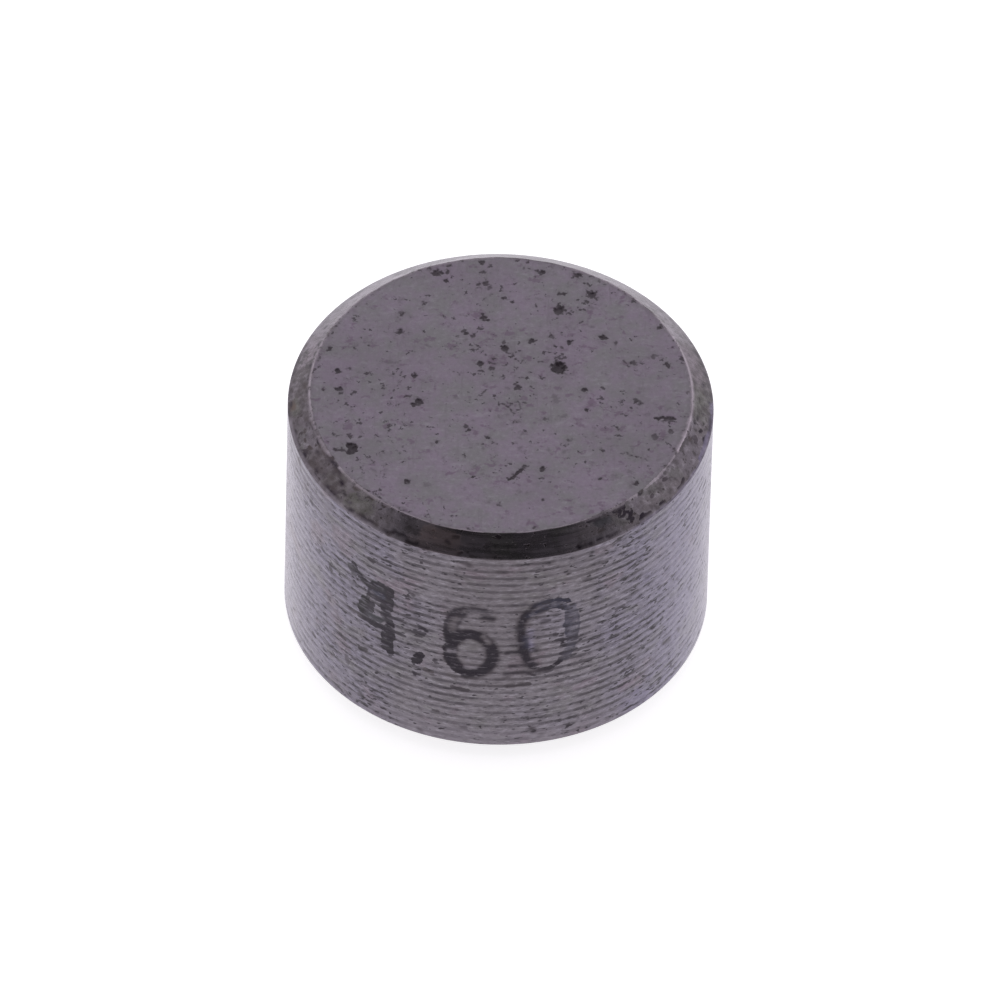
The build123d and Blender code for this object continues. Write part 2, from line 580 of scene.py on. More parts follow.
markTones = {
    "ink": tone(18, 2, 22),
    "blueInk": tone(28, 27, 48),
    "slate": tone(56, 57, 74),
    "teal": tone(36, 41, 43),
    "soot": tone(66, 58, 58),
    "olive": tone(14, 10, 12),
    "bare": tone(134, 128, 135),
    "tan": tone(150, 130, 124),
    "lilac": tone(122, 116, 144),
    "mauve": tone(136, 130, 162),
    "rust": tone(60, 53, 58),
    "brown": tone(88, 76, 68),
    "green": tone(88, 90, 78),
    "pink": tone(132, 116, 128),
    # worn: a painted highlight along the rim
    "worn": tone(180, 170, 178),
}


def ovalPath(centre, radii, steps=24):
    turns = [radians(360 * step / steps) for step in range(steps + 1)]
    return [(centre[0] + radii[0] * cos(turn), centre[1] + radii[1] * sin(turn)) for turn in turns]


# The size mark, worn ink on the side: half width, load, tone and path, in the side's chart
sizeMark = {
    "four": [
        (0.07, 0.6, "olive", [(-2.44, 2.95), (-2.37, 2.86)]),
        (0.055, 1.0, "ink", [(-2.37, 3.05), (-2.32, 2.95), (-2.25, 2.88), (-2.12, 2.83)]),
        (0.11, 0.9, "teal", [(-1.92, 2.86), (-1.76, 2.86)]),
        (0.11, 0.95, "slate", [(-1.97, 2.68), (-1.78, 2.68)]),
        (0.05, 0.95, "ink", [(-2.04, 2.81), (-1.86, 2.95), (-1.68, 2.93)]),
        (0.08, 0.92, "ink", [(-1.69, 2.9), (-1.69, 2.52)]),
        (0.04, 0.95, "ink", [(-2.08, 2.79), (-1.76, 2.79)]),
        (0.045, 0.85, "ink", [(-2.03, 2.74), (-2.07, 2.53)]),
        (0.055, 0.8, "ink", [(-2.0, 2.6), (-1.72, 2.58)]),
        (0.1, 0.88, "ink", [(-1.75, 2.52), (-1.73, 2.28)]),
        (0.07, 0.88, "ink", [(-1.69, 2.34), (-1.65, 2.12)]),
        (0.03, 0.65, "ink", [(-1.82, 2.28), (-1.82, 2.14)]),
        (0.1, 0.95, "ink", [(-1.67, 2.08), (-1.67, 1.92)]),
        (0.05, 0.88, "ink", [(-1.78, 1.9), (-1.76, 1.6)]),
        (0.065, 0.95, "ink", [(-1.68, 1.92), (-1.65, 1.53)]),
        (0.1, 0.98, "olive", [(-2.13, 2.4), (-2.18, 2.2)]),
        (0.11, 1.0, "olive", [(-2.06, 2.3), (-2.14, 2.14)]),
        (0.055, 0.8, "ink", [(-1.99, 2.42), (-2.05, 2.3), (-2.1, 2.15)]),
        (0.055, 0.7, "teal", [(-2.02, 2.16), (-1.84, 2.16)]),
        (0.065, 0.88, "ink", [(-2.24, 2.03), (-1.95, 2.02), (-1.68, 2.03)]),
        (0.035, 0.7, "ink", [(-1.6, 2.05), (-1.42, 2.04)]),
        (0.03, 0.55, "soot", [(-2.42, 2.02), (-2.22, 2.02)]),
        (0.035, 0.6, "ink", [(-1.62, 2.33), (-1.46, 2.38)]),
    ],
    "point": [
        (0.07, 1.1, "ink", [(-1.14, 1.74), (-1.19, 1.62)]),
        (0.085, 1.1, "ink", [(-1.18, 1.66), (-1.2, 1.6)]),
        (0.045, 1.0, "ink", [(-1.2, 1.6), (-1.25, 1.52)]),
        (0.03, 0.85, "ink", [(-1.22, 2.4), (-1.13, 2.35), (-1.05, 2.29)]),
        (0.03, 0.8, "ink", [(-1.25, 2.23), (-1.16, 2.21), (-1.08, 2.24)]),
        (0.026, 0.75, "ink", [(-1.17, 2.3), (-1.1, 2.17)]),
        (0.026, 0.6, "ink", [(-1.23, 2.13), (-1.13, 2.15)]),
        (0.02, 0.6, "ink", [(-1.24, 1.95), (-1.16, 1.93)]),
        (0.05, 0.6, "soot", [(-1.05, 1.46), (-0.96, 1.4)]),
        (0.045, 0.75, "ink", [(-0.91, 1.7), (-0.88, 1.66)]),
        (0.03, 0.75, "ink", [(-1.25, 1.33), (-1.23, 1.28)]),
    ],
    "six": [
        (0.08, 0.45, "soot", [(-0.66, 2.45), (-0.65, 2.66), (-0.57, 2.8)]),
        (0.042, 0.9, "ink", [(-0.75, 2.4), (-0.75, 2.56), (-0.72, 2.7), (-0.62, 2.88)]),
        (0.045, 0.95, "ink", [(-0.62, 2.88), (-0.48, 2.97), (-0.3, 2.99), (-0.16, 2.97)]),
        (0.035, 0.9, "ink", [(-0.16, 2.97), (-0.06, 2.94)]),
        (0.032, 0.85, "ink", [(-0.56, 2.46), (-0.56, 2.6), (-0.5, 2.74)]),
        (0.05, 1.0, "ink", [(-0.63, 2.81), (-0.47, 2.83)]),
        (0.035, 0.5, "ink", [(-0.38, 2.92), (-0.1, 2.9)]),
        (0.05, 1.0, "ink", [(-0.18, 2.81), (-0.03, 2.79)]),
        (0.108, 1.06, "ink", ovalPath((-0.35, 1.985), (0.33, 0.42))),
        (0.09, 1.15, "ink", [(-0.69, 2.08), (-0.67, 1.84), (-0.58, 1.66), (-0.44, 1.55)]),
        (0.09, 1.15, "ink", [(-0.7, 2.36), (-0.66, 2.2)]),
        (0.075, 1.12, "ink", [(-0.56, 2.36), (-0.36, 2.43), (-0.18, 2.35)]),
        (0.04, 0.45, "soot", [(-0.17, 2.38), (-0.08, 2.26)]),
        (0.02, 0.55, "bare", [(-0.7, 1.99), (-0.6, 2.0)]),
        (0.02, 0.6, "bare", [(-0.42, 1.69), (-0.28, 1.7)]),
        (0.05, 0.4, "soot", [(-0.68, 1.46), (-0.58, 1.4)]),
    ],
    "nought": [
        (0.05, 0.35, "lilac", [(0.55, 2.5), (0.56, 2.1)]),
        (0.05, 1.05, "ink", [(0.58, 3.0), (0.5, 2.93), (0.45, 2.82)]),
        (0.075, 1.05, "ink", [(0.46, 2.84), (0.41, 2.68), (0.4, 2.5), (0.42, 2.28), (0.45, 2.05)]),
        (0.045, 0.9, "blueInk", [(0.48, 2.36), (0.5, 2.1)]),
        (0.08, 1.0, "ink", [(0.46, 2.04), (0.5, 1.88), (0.6, 1.73)]),
        (0.03, 0.6, "ink", [(0.28, 3.09), (0.46, 3.1)]),
        (0.034, 0.75, "ink", [(0.28, 2.57), (0.4, 2.55)]),
        (0.03, 0.6, "ink", [(0.3, 2.2), (0.42, 2.22)]),
        (0.04, 1.05, "ink", [(0.2, 2.04), (0.47, 2.06)]),
        (0.036, 0.95, "ink", [(0.24, 1.74), (0.48, 1.75)]),
        (0.034, 0.85, "ink", [(0.18, 1.58), (0.5, 1.6)]),
        (0.034, 0.95, "ink", [(0.54, 1.56), (0.62, 1.51)]),
        (0.044, 1.05, "ink", [(0.58, 1.72), (0.7, 1.64), (0.84, 1.62), (0.97, 1.68), (1.08, 1.8)]),
        (0.03, 0.6, "ink", [(0.66, 1.55), (0.9, 1.54)]),
        (0.04, 0.28, "slate", [(0.72, 3.01), (0.9, 3.03), (1.08, 2.95)]),
        (0.044, 1.05, "blueInk", [(0.52, 2.83), (0.64, 2.9), (0.78, 2.96), (0.94, 2.97), (1.06, 2.9)]),
        (0.04, 0.9, "blueInk", [(1.05, 2.93), (1.15, 2.8)]),
        (0.042, 1.05, "blueInk", [(0.62, 3.06), (0.8, 3.11), (1.0, 3.1), (1.14, 3.02)]),
        (0.085, 0.48, "slate", [(1.19, 2.86), (1.2, 2.5), (1.2, 2.2), (1.18, 1.98), (1.12, 1.82)]),
        (0.036, 0.75, "blueInk", [(1.11, 2.85), (1.11, 2.6), (1.12, 2.3)]),
        (0.03, 0.6, "blueInk", [(1.28, 2.76), (1.31, 2.5), (1.3, 2.36)]),
        (0.03, 0.5, "blueInk", [(1.29, 2.3), (1.26, 2.05)]),
        (0.035, 0.85, "blueInk", [(1.08, 2.5), (1.2, 2.54)]),
        (0.035, 0.9, "ink", [(1.14, 2.2), (1.28, 2.21)]),
        (0.035, 0.8, "ink", [(0.95, 2.22), (1.07, 2.2)]),
        (0.045, 0.95, "ink", [(1.06, 2.1), (1.11, 2.05)]),
        (0.032, 0.8, "ink", [(1.2, 2.07), (1.34, 2.09)]),
        (0.034, 0.85, "ink", [(1.04, 1.9), (1.28, 1.93)]),
        (0.032, 0.75, "ink", [(1.02, 1.8), (1.26, 1.8)]),
        (0.04, 0.8, "ink", [(0.61, 2.08), (0.64, 2.06)]),
        (0.03, 0.6, "ink", [(0.73, 2.68), (0.86, 2.67)]),
        (0.04, 0.8, "ink", [(0.93, 2.36), (0.96, 2.35)]),
        (0.03, 0.6, "ink", [(0.53, 2.38), (0.57, 2.36)]),
    ],
}

# Broad faint tones on the side, drawn the same way: darker in the upper middle and near the top,
# lighter along the foot, and on the right a painted violet reflection and a painted highlight
sideTonesAndSheen = [
    (0.8, 0.2, "soot", [(0.0, 2.05), (0.0, 3.4)]),
    (0.35, 0.2, "soot", [(0.3, 3.75), (1.4, 3.75)]),
    (0.25, 0.35, "bare", [(-2.6, 0.1), (3.4, 0.1)]),
    (0.3, 0.2, "soot", [(-4.3, 3.75), (-3.1, 3.75)]),
    # painted highlight low on the right
    (0.26, 0.4, "mauve", [(2.5, 0.2), (3.6, 0.26)]),
    # painted reflection: violet, thickening towards the right edge
    (1.45, 0.06, "mauve", [(4.1, 0.3), (3.8, 3.7)]),
    (1.1, 0.12, "mauve", [(4.0, 0.4), (3.8, 3.6)]),
    (0.75, 0.18, "mauve", [(3.9, 0.6), (3.75, 3.4)]),
    (0.4, 0.24, "mauve", [(3.8, 0.9), (3.7, 3.0)]),
]

# Rust spots on the side, drawn the same way
sideRust = inTone(
    "rust",
    [
        (0.04, 0.9, [(-0.46, 3.97), (-0.4, 3.93)]),
        (0.025, 0.9, [(0.03, 3.83), (0.15, 3.82)]),
        (0.045, 0.85, [(-2.06, 3.38), (-2.0, 3.36)]),
        (0.045, 0.8, [(-2.9, 2.6), (-2.88, 2.52)]),
        (0.04, 0.85, [(2.53, 2.82), (2.58, 2.78)]),
        (0.04, 0.9, [(-2.22, 1.3), (-2.08, 1.35)]),
        (0.045, 0.7, [(-2.62, 1.3), (-2.55, 1.25)]),
        (0.034, 1.1, [(-0.64, 1.2), (-0.38, 1.17)]),
        (0.034, 1.1, [(0.22, 1.3), (0.56, 1.33)]),
        (0.03, 0.8, [(0.17, 1.49), (0.21, 1.5)]),
        (0.05, 0.9, [(0.6, 0.32), (0.64, 0.26)]),
        (0.03, 0.8, [(0.74, 0.18), (0.78, 0.17)]),
        (0.05, 0.85, [(-2.2, 0.3), (-2.14, 0.28)]),
        (0.028, 0.8, [(-0.5, 0.33), (-0.38, 0.32)]),
        (0.08, 0.6, [(3.0, 1.02), (3.12, 0.96)]),
        (0.05, 0.6, [(3.37, 1.0), (3.4, 0.94)]),
        (0.05, 0.6, [(-2.48, 0.92), (-2.46, 0.8)]),
        (0.04, 0.8, [(-3.34, 0.72), (-3.28, 0.7)]),
        (0.03, 0.8, [(-1.15, 0.1), (-1.11, 0.08)]),
        (0.04, 0.75, [(-3.7, 3.72), (-3.66, 3.66)]),
        (0.045, 0.75, [(-3.96, 3.97), (-3.9, 3.9)]),
        (0.03, 0.7, [(2.2, 1.25), (2.32, 1.24)]),
        (0.03, 0.7, [(2.12, 1.02), (2.24, 1.0)]),
        (0.035, 0.75, [(1.62, 1.9), (1.74, 1.92)]),
        (0.03, 0.7, [(1.95, 2.45), (2.1, 2.48)]),
        (0.03, 0.75, [(2.3, 3.3), (2.42, 3.33)]),
        (0.03, 0.75, [(1.38, 3.4), (1.52, 3.42)]),
        (0.03, 0.7, [(-1.35, 3.02), (-1.27, 3.0)]),
        (0.025, 0.8, [(-0.93, 0.6), (-0.84, 0.6)]),
    ],
)
sideRust += [
    (0.07, 0.3, "pink", [(2.1, 0.6), (2.4, 0.65)]),
    (0.07, 0.3, "pink", [(1.3, 1.05), (1.6, 1.1)]),
]

# Marks on the upper chamfer, with paths in degrees from the front and shares of its width
upperClouds = [  # broad stains and lighter patches, and a painted highlight along the rim
    (0.3, 0.5, "bare", [(-142, 0.5), (-114, 0.5)]),
    (0.3, 0.25, "bare", [(118, 0.5), (140, 0.5)]),
    (0.25, 0.35, "soot", [(-98, 0.5), (-82, 0.5)]),
    (0.2, 0.85, "soot", [(96, 0.3), (112, 0.4)]),
    (0.2, 0.25, "soot", [(155, 0.4), (178, 0.4)]),
    (0.1, 0.25, "bare", [(-34, 0.85), (-12, 0.85)]),
    (0.1, 0.25, "bare", [(12, 0.8), (34, 0.8)]),
    (0.16, 0.32, "tan", [(-20, 0.5), (-13, 0.5)]),
    (0.16, 0.4, "soot", [(-64, 0.4), (-52, 0.4)]),
    (0.12, 0.4, "green", [(-46, 0.56), (-40, 0.5)]),
    (0.12, 0.4, "green", [(86, 0.35), (98, 0.45)]),
    (0.12, 0.35, "pink", [(-112, 0.45), (-104, 0.35)]),
    (0.12, 0.35, "pink", [(100, 0.3), (110, 0.3)]),
    (0.1, 0.75, "teal", [(30.5, 0.24), (33, 0.26)]),
    # the tone named worn paints a highlight along the rim
    (0.1, 0.25, "worn", [(-176, 0.02), (-150, 0.02)]),
    (0.1, 0.4, "worn", [(-150, 0.02), (-112, 0.02)]),
    (0.08, 0.4, "worn", [(118, 0.0), (150, 0.0)]),
]

upperChamfer = [  # specks, and a painted highlight along the rim
    (0.08, 0.45, "green", [(-88, 0.7), (-84, 0.62)]),
    (0.06, 0.95, "brown", [(-88, 0.8), (-86, 0.74)]),
    (0.03, 0.9, "ink", [(-88.5, 0.84), (-87, 0.86)]),
    (0.05, 0.45, "lilac", [(72, 0.94), (92, 0.96)]),
    (0.03, 0.6, "bare", [(-82, 0.96), (-64, 1.0), (-46, 0.98), (-32, 1.0)]),
    (0.03, 0.5, "bare", [(30, 1.0), (48, 0.98), (70, 1.0)]),
    (0.016, 0.95, "ink", [(-43.5, 0.02), (-41.5, 0.06)]),
    (0.02, 0.95, "ink", [(-29, 0.03), (-27, 0.06)]),
    (0.045, 0.7, "soot", [(-64, 0.74), (-60, 0.62)]),
    (0.024, 0.9, "ink", [(-61.5, 0.72), (-60.4, 0.8)]),
    (0.018, 0.8, "ink", [(-58.6, 0.6), (-57.6, 0.7)]),
    (0.026, 0.85, "rust", [(-52, 0.78), (-50.5, 0.66)]),
    (0.022, 0.85, "ink", [(-44.6, 0.92), (-43.4, 0.86)]),
    (0.03, 0.75, "ink", [(-29.6, 0.72), (-28, 0.8), (-26.6, 0.74)]),
    (0.018, 0.8, "ink", [(-25, 0.92), (-21, 0.96)]),
    (0.035, 0.85, "ink", [(27.5, 0.05), (31, 0.06)]),
    (0.02, 0.9, "ink", [(36, 0.1), (37, 0.04), (38.5, 0.08), (37.5, 0.16), (36.4, 0.14)]),
    (0.02, 0.9, "ink", [(39, 0.06), (40.5, 0.12), (39.5, 0.22), (38.4, 0.18)]),
    (0.02, 0.85, "ink", [(37, 0.3), (38.4, 0.26), (39.6, 0.34), (38.5, 0.42), (37.2, 0.38)]),
    (0.022, 0.9, "ink", [(40.4, 0.36), (41.8, 0.4), (41.2, 0.5), (40.2, 0.46)]),
    (0.02, 0.85, "ink", [(39, 0.6), (40.6, 0.58), (41, 0.68), (39.6, 0.72)]),
    (0.028, 0.95, "ink", [(43.4, 0.76), (44.2, 0.72)]),
    (0.024, 0.75, "ink", [(32, 0.88), (34, 0.85)]),
    (0.026, 0.8, "rust", [(49.5, 0.4), (50.5, 0.36)]),
    (0.026, 0.8, "ink", [(61, 0.84), (62.2, 0.76)]),
    (0.028, 0.8, "ink", [(82, 0.9), (87, 0.88)]),
    # the tone named worn paints a highlight along the rim, brightest on the right
    (0.016, 0.32, "worn", [(50, 0.01), (66, 0.0)]),
    (0.022, 0.8, "worn", [(68, -0.005), (82, -0.01), (98, -0.005)]),
    (0.02, 0.7, "worn", [(98, 0.0), (106, 0.01), (118, 0.0)]),
    (0.016, 0.45, "worn", [(132, 0.0), (160, 0.0)]),
    (0.014, 0.3, "worn", [(6, 0.0), (46, 0.0)]),
    (0.014, 0.15, "worn", [(-80, 0.0), (-62, 0.0)]),
    (0.014, 0.3, "worn", [(-56, 0.0), (-4, 0.0)]),
    (0.016, 0.45, "worn", [(-112, 0.0), (-104, 0.0)]),
    (0.018, 0.5, "worn", [(-104, 0.0), (-80, 0.0)]),
]

# Bands of small specks on both chamfers: how many, from and to in degrees, share and its spread
upperBands = [
    (44, -120, -24, 0.05, 0.04),
    (46, -86, -20, 0.9, 0.08),
    (22, 22, 112, 0.05, 0.04),
    (34, 22, 112, 0.9, 0.08),
    (50, -180, 180, 0.5, 0.4),
    (24, 112, 250, 0.05, 0.05),
    (36, -118, -44, 0.5, 0.45),
    (40, 74, 136, 0.5, 0.45),
    (26, -116, -70, 0.92, 0.06),
]
lowerBands = [
    (60, -180, 180, 0.5, 0.45),
    (70, -180, 180, 0.03, 0.04),
    (70, -180, 180, 0.9, 0.08),
]


def chamferStrokes(marks, side):
    slant = hypot(side["chamferWidth"], side["chamferHeight"]) / mm
    strokes = []
    for half, load, name, path in marks:
        ends = [(radians(turn) * radius / mm, share * slant) for turn, share in path]
        strokes.append((half, load, name, ends))
    return strokes


speck = {
    "half": (0.024, 0.04),  # least and most half width
    "load": (0.7, 1.1),
    "length": (0.2, 1.6),  # in degrees
    "slant": 0.06,
    "tones": ("rust", "soot", "ink"),
    "upperSeed": 7,
    "lowerSeed": 5,
}


def scatterSpecks(bands, seed):
    pick = np.random.default_rng(seed)
    least, most = speck["half"]
    specks = []
    for count, first, last, share, spread in bands:
        for _ in range(count):
            turn = pick.uniform(first, last)
            height = share + spread * pick.uniform(-1, 1)
            farTurn = turn + pick.uniform(*speck["length"])
            farHeight = height + speck["slant"] * pick.uniform(-1, 1)
            half = least + (most - least) * pick.random() ** 2  # most are small
            load = pick.uniform(*speck["load"])
            name = str(pick.choice(speck["tones"]))
            specks.append((half, load, name, [(turn, height), (farTurn, farHeight)]))
    return specks


# Steel finishes
groundSteel = {
    "grey": tone(110, 108, 110),
    "violet": tone(118, 108, 120),
    "shade": tone(98, 93, 98),
    "glint": tone(134, 131, 136),
    "smudge": tone(80, 74, 79),
    "plum": tone(90, 72, 90),
    "rust": tone(60, 53, 58),
    "coat": 0.4,
}

turnedSteel = {
    "grey": tone(117, 112, 116),
    "lavender": tone(120, 115, 131),
    "pink": tone(118, 105, 113),
    "moss": tone(112, 110, 109),
    "shade": tone(84, 79, 84),
    "glint": tone(162, 158, 166),
    # dark groove tone: dirt, and painted shade in the grooves
    "valleyDirtAndShade": tone(62, 57, 62),
    "dash": tone(40, 34, 40),
    "coat": 0.52,
}

chamferSteel = {
    "grey": tone(103, 97, 103),
    "brown": tone(99, 93, 96),
    "green": tone(95, 93, 92),
    "shade": tone(70, 65, 67),
    "glint": tone(134, 128, 134),
    "rust": tone(50, 43, 44),
    "coat": 0.4,
}

coating = {"ior": 1.5, "roughness": 0.2}  # oil, which brightens the grazing sides
bumpHeight = 0.002 * mm  # of the grain and the fine lines


def startMaterial(name):
    material = bpy.data.materials.new(name)
    material.use_nodes = True
    material.node_tree.nodes.clear()
    graph = NodeGraph(material.node_tree)
    place = graph.add("ShaderNodeTexCoord").outputs["Object"]
    return material, graph, graph.stretch(place, (1 / mm, 1 / mm, 1 / mm))  # in millimetres


def finishMaterial(graph, coat, colour, roughness, height):
    raised = graph.add("ShaderNodeBump", {"Height": height, "Strength": 1.0, "Distance": bumpHeight})
    inputs = {
        "Base Color": colour,
        "Metallic": 1.0,
        "Roughness": roughness,
        "Normal": raised.outputs[0],
        "Coat Weight": coat,
        "Coat IOR": coating["ior"],
        "Coat Roughness": coating["roughness"],
    }
    shader = graph.add("ShaderNodeBsdfPrincipled", inputs)
    graph.add("ShaderNodeOutputMaterial", {"Surface": shader.outputs[0]})


def shadeGrain(graph, grain, colour, finish, dark, light):  # fine dark and light flecks
    colour = graph.wash(colour, grain, 0.5, 0.3, dark, finish["shade"])
    return graph.wash(colour, grain, 0.5, 0.7, light, finish["glint"])


def readReach(graph):  # 1 in a painted mark, less where specks lie thick
    return graph.add("ShaderNodeAttribute", attribute_name="markReach").outputs["Fac"]


def layMarks(graph, colour, ragged, amount, held, most=1.0, edge=0.6):  # marks with broken edges
    mark = graph.add("ShaderNodeAttribute", attribute_name="mark").outputs
    reach = readReach(graph)
    uneven = graph.times(graph.minus(ragged, 0.5), amount)
    inside = graph.ramp(graph.plus(reach, uneven), 0.4, edge)
    worn = graph.ramp(ragged, 0.32, 0.48, held, most)
    cover = graph.times(graph.times(inside, worn), mark["Alpha"])
    return graph.blend(cover, colour, mark["Color"]), cover


def makeGroundSteel(finish):
    material, graph, place = startMaterial("groundSteel")
    mottle = graph.noise(place, 1.5, 5.0, 0.7)
    colour = graph.blend(graph.ramp(mottle, 0.36, 0.64), finish["grey"], finish["violet"])
    grain = graph.noise(place, 13.0, 4.0, 0.7)
    colour = shadeGrain(graph, grain, colour, finish, 0.5, 0.45)
    scratches = graph.noise(graph.stretch(place, (14.0, 1.4, 1.0)), 1.0, 4.0, 0.65)
    colour = graph.wash(colour, scratches, 0.42, 0.3, 0.35, finish["shade"])
    smears = graph.noise(graph.stretch(place, (1.0, -1.0, 1.0)), 5.5, 3.0, 0.6)
    colour = graph.wash(colour, smears, 0.58, 0.74, 0.55, finish["smudge"])
    spots = graph.noise(graph.stretch(place, (-1.0, 1.2, 1.0)), 4.2, 3.0, 0.7)
    colour = graph.wash(colour, spots, 0.58, 0.68, 0.6, finish["plum"])
    pale = graph.noise(graph.stretch(place, (1.0, 2.2, -1.0)), 3.4, 3.0, 0.6)
    colour = graph.wash(colour, pale, 0.58, 0.74, 0.4, finish["glint"])
    # rust specks too small for the mesh, thicker in patches
    patches = graph.ramp(graph.noise(place, 0.8, 2.0), 0.42, 0.62, 0.0, 0.05)
    fine = graph.noise(place, 9.0, 4.0, 0.6)
    reach = readReach(graph)
    colour = graph.blend(graph.times(reach, 0.5), colour, finish["smudge"])
    near = graph.times(reach, 0.115)
    specks = graph.ramp(graph.plus(graph.plus(fine, patches), near), 0.65, 0.73)
    colour = graph.blend(graph.times(specks, 0.7), colour, finish["rust"])
    colour, cover = layMarks(graph, colour, grain, 0.9, 0.85, 1.0, 0.85)
    dirt = graph.math("MAXIMUM", cover, specks)
    roughness = graph.plus(graph.times(dirt, 0.3), graph.ramp(grain, 0.3, 0.7, 0.3, 0.42))
    height = graph.minus(graph.times(grain, 0.4), dirt)
    finishMaterial(graph, finish["coat"], colour, roughness, height)
    return material


def makeTurnedSteel(finish):
    material, graph, place = startMaterial("turnedSteel")
    across = graph.add("ShaderNodeSeparateXYZ", {"Vector": place}).outputs["X"]
    tint = graph.times(graph.noise(place, 1.1, 3.0, 0.6), 4.0)
    tint = graph.ramp(graph.plus(graph.math("ABSOLUTE", across), tint), 2.4, 5.2)
    colour = graph.blend(tint, finish["grey"], finish["lavender"])  # painted reflection tint: bluer towards the left and right
    blush = graph.noise(graph.stretch(place, (1.0, -1.0, 1.0)), 1.6, 3.0, 0.6)
    colour = graph.wash(colour, blush, 0.54, 0.68, 0.7, finish["pink"])
    moss = graph.noise(graph.stretch(place, (-1.0, 1.0, 1.6)), 1.5, 3.0, 0.6)
    colour = graph.wash(colour, moss, 0.55, 0.66, 0.6, finish["moss"])
    grain = graph.noise(graph.stretch(place, (8.0, 8.0, 26.0)), 1.0, 3.0, 0.6)
    colour = shadeGrain(graph, grain, colour, finish, 0.6, 0.45)
    # dirt and painted shade lie in the grooves, the dirt also in broken dashes
    groove = graph.add("ShaderNodeAttribute", attribute_name="groove").outputs["Fac"]
    # painted: groove shade, dashes and specks thin out towards the left and right, where the view
    # grazes the side
    leftward = graph.ramp(across, -3.2, -1.8, 0.45, 1.0)
    rightward = graph.ramp(across, 2.2, 3.1, 1.0, 0.55)
    paintedGrazingFade = graph.times(leftward, rightward)
    worn = graph.noise(graph.stretch(place, (1.0, -1.0, -1.0)), 0.9, 2.0)
    worn = graph.ramp(worn, 0.4, 0.6, 0.5, 0.88)
    valleyDirtAndShade = graph.times(graph.times(graph.ramp(groove, 0.0, 0.7), worn), paintedGrazingFade)
    colour = graph.blend(valleyDirtAndShade, colour, finish["valleyDirtAndShade"])
    patches = graph.ramp(graph.noise(place, 1.1, 2.0), 0.38, 0.62, -0.025, 0.03)
    aside = graph.ramp(graph.math("ABSOLUTE", across), 0.3, 1.5, -0.02, 0.03)
    patches = graph.plus(patches, aside)
    dashes = graph.noise(graph.stretch(place, (6.5, 6.5, 20.0)), 1.0, 3.0, 0.6)
    inked = graph.plus(dashes, graph.ramp(groove, 0.0, 0.8, -0.04, 0.07))  # worn off the lands
    colour, cover = layMarks(graph, colour, inked, 1.1, 0.62, 1.06)
    thick = graph.plus(dashes, patches)
    filled = graph.times(graph.ramp(groove, 0.05, 0.6, 0.35, 1.0), graph.ramp(thick, 0.545, 0.645))
    filled = graph.times(filled, graph.ramp(paintedGrazingFade, 0.0, 1.0, 0.3, 1.0))
    colour = graph.blend(graph.times(filled, 0.8), colour, finish["dash"])
    spots = graph.noise(graph.stretch(place, (8.0, 8.0, 19.0)), 1.0, 1.0, 0.5)
    specks = graph.ramp(graph.plus(spots, patches), 0.67, 0.72)
    specks = graph.times(specks, graph.ramp(paintedGrazingFade, 0.0, 1.0, 0.3, 1.0))
    colour = graph.blend(graph.times(specks, 0.9), colour, finish["dash"])
    dirt = graph.math("MAXIMUM", cover, graph.math("MAXIMUM", specks, filled))
    lines = graph.noise(graph.stretch(place, (2.2, 2.2, 34.0)), 1.0, 4.0, 0.7)
    roughness = graph.plus(graph.times(dirt, 0.3), graph.ramp(lines, 0.3, 0.7, 0.2, 0.3))
    height = graph.minus(lines, graph.times(dirt, 0.8))
    finishMaterial(graph, finish["coat"], colour, roughness, height)
    return material


def makeChamferSteel(finish):
    material, graph, place = startMaterial("chamferSteel")
    cloud = graph.noise(place, 1.3, 3.0, 0.6)
    colour = graph.blend(graph.ramp(cloud, 0.4, 0.6), finish["grey"], finish["brown"])
    second = graph.noise(graph.stretch(place, (1.0, -1.0, 1.0)), 1.9, 3.0, 0.6)
    colour = graph.wash(colour, second, 0.52, 0.66, 0.8, finish["green"])
    grain = graph.noise(place, 8.0, 4.0, 0.7)
    back = graph.add("ShaderNodeSeparateXYZ", {"Vector": place}).outputs["Y"]
    nearFront = graph.ramp(back, -2.9, -2.4, 0.4, 1.0)
    nearBack = graph.ramp(back, -0.9, 0.4, 0.0, 0.8)
    contrast = graph.plus(nearFront, nearBack)  # weak in front and strong behind
    grain = graph.plus(graph.times(graph.minus(grain, 0.5), contrast), 0.5)
    colour = shadeGrain(graph, grain, colour, finish, 1.0, 0.8)
    blots = graph.noise(graph.stretch(place, (-1.0, 1.0, 1.0)), 4.5, 3.0, 0.6)
    colour = graph.wash(colour, blots, 0.54, 0.66, 0.7, finish["shade"])
    specks = graph.ramp(graph.noise(place, 12.0, 2.0, 0.5), 0.63, 0.7)
    colour = graph.blend(graph.times(specks, 0.8), colour, finish["rust"])
    colour, cover = layMarks(graph, colour, grain, 1.3, 0.7)
    dirt = graph.math("MAXIMUM", cover, specks)
    lines = graph.noise(graph.stretch(place, (1.5, 1.5, 30.0)), 1.0, 3.0, 0.6)
    roughness = graph.ramp(lines, 0.3, 0.7, 0.22, 0.34)
    height = graph.minus(lines, dirt)
    finishMaterial(graph, finish["coat"], colour, roughness, height)
    return material


# How wide each kind of mark's soft edge is, in millimetres
softness = {
    "halo": 0.12,
    "patch": 0.5,
    "pit": 0.06,
    "scuff": 0.04,
    "cloud": 0.4,
    "speck": 0.05,
    "toneAndSheen": 0.5,
    "ink": 0.08,
}
patchReach = 0.3  # too weak to show as a mark, but specks lie thicker there
halo = {"least": 0.035, "spread": 2.2, "load": 0.85, "reach": 0.36}  # round every larger pit


def halosOf(strokes):
    return [
        (half * halo["spread"], halo["load"], name, path)
        for half, _, name, path in strokes
        if half > halo["least"]
    ]


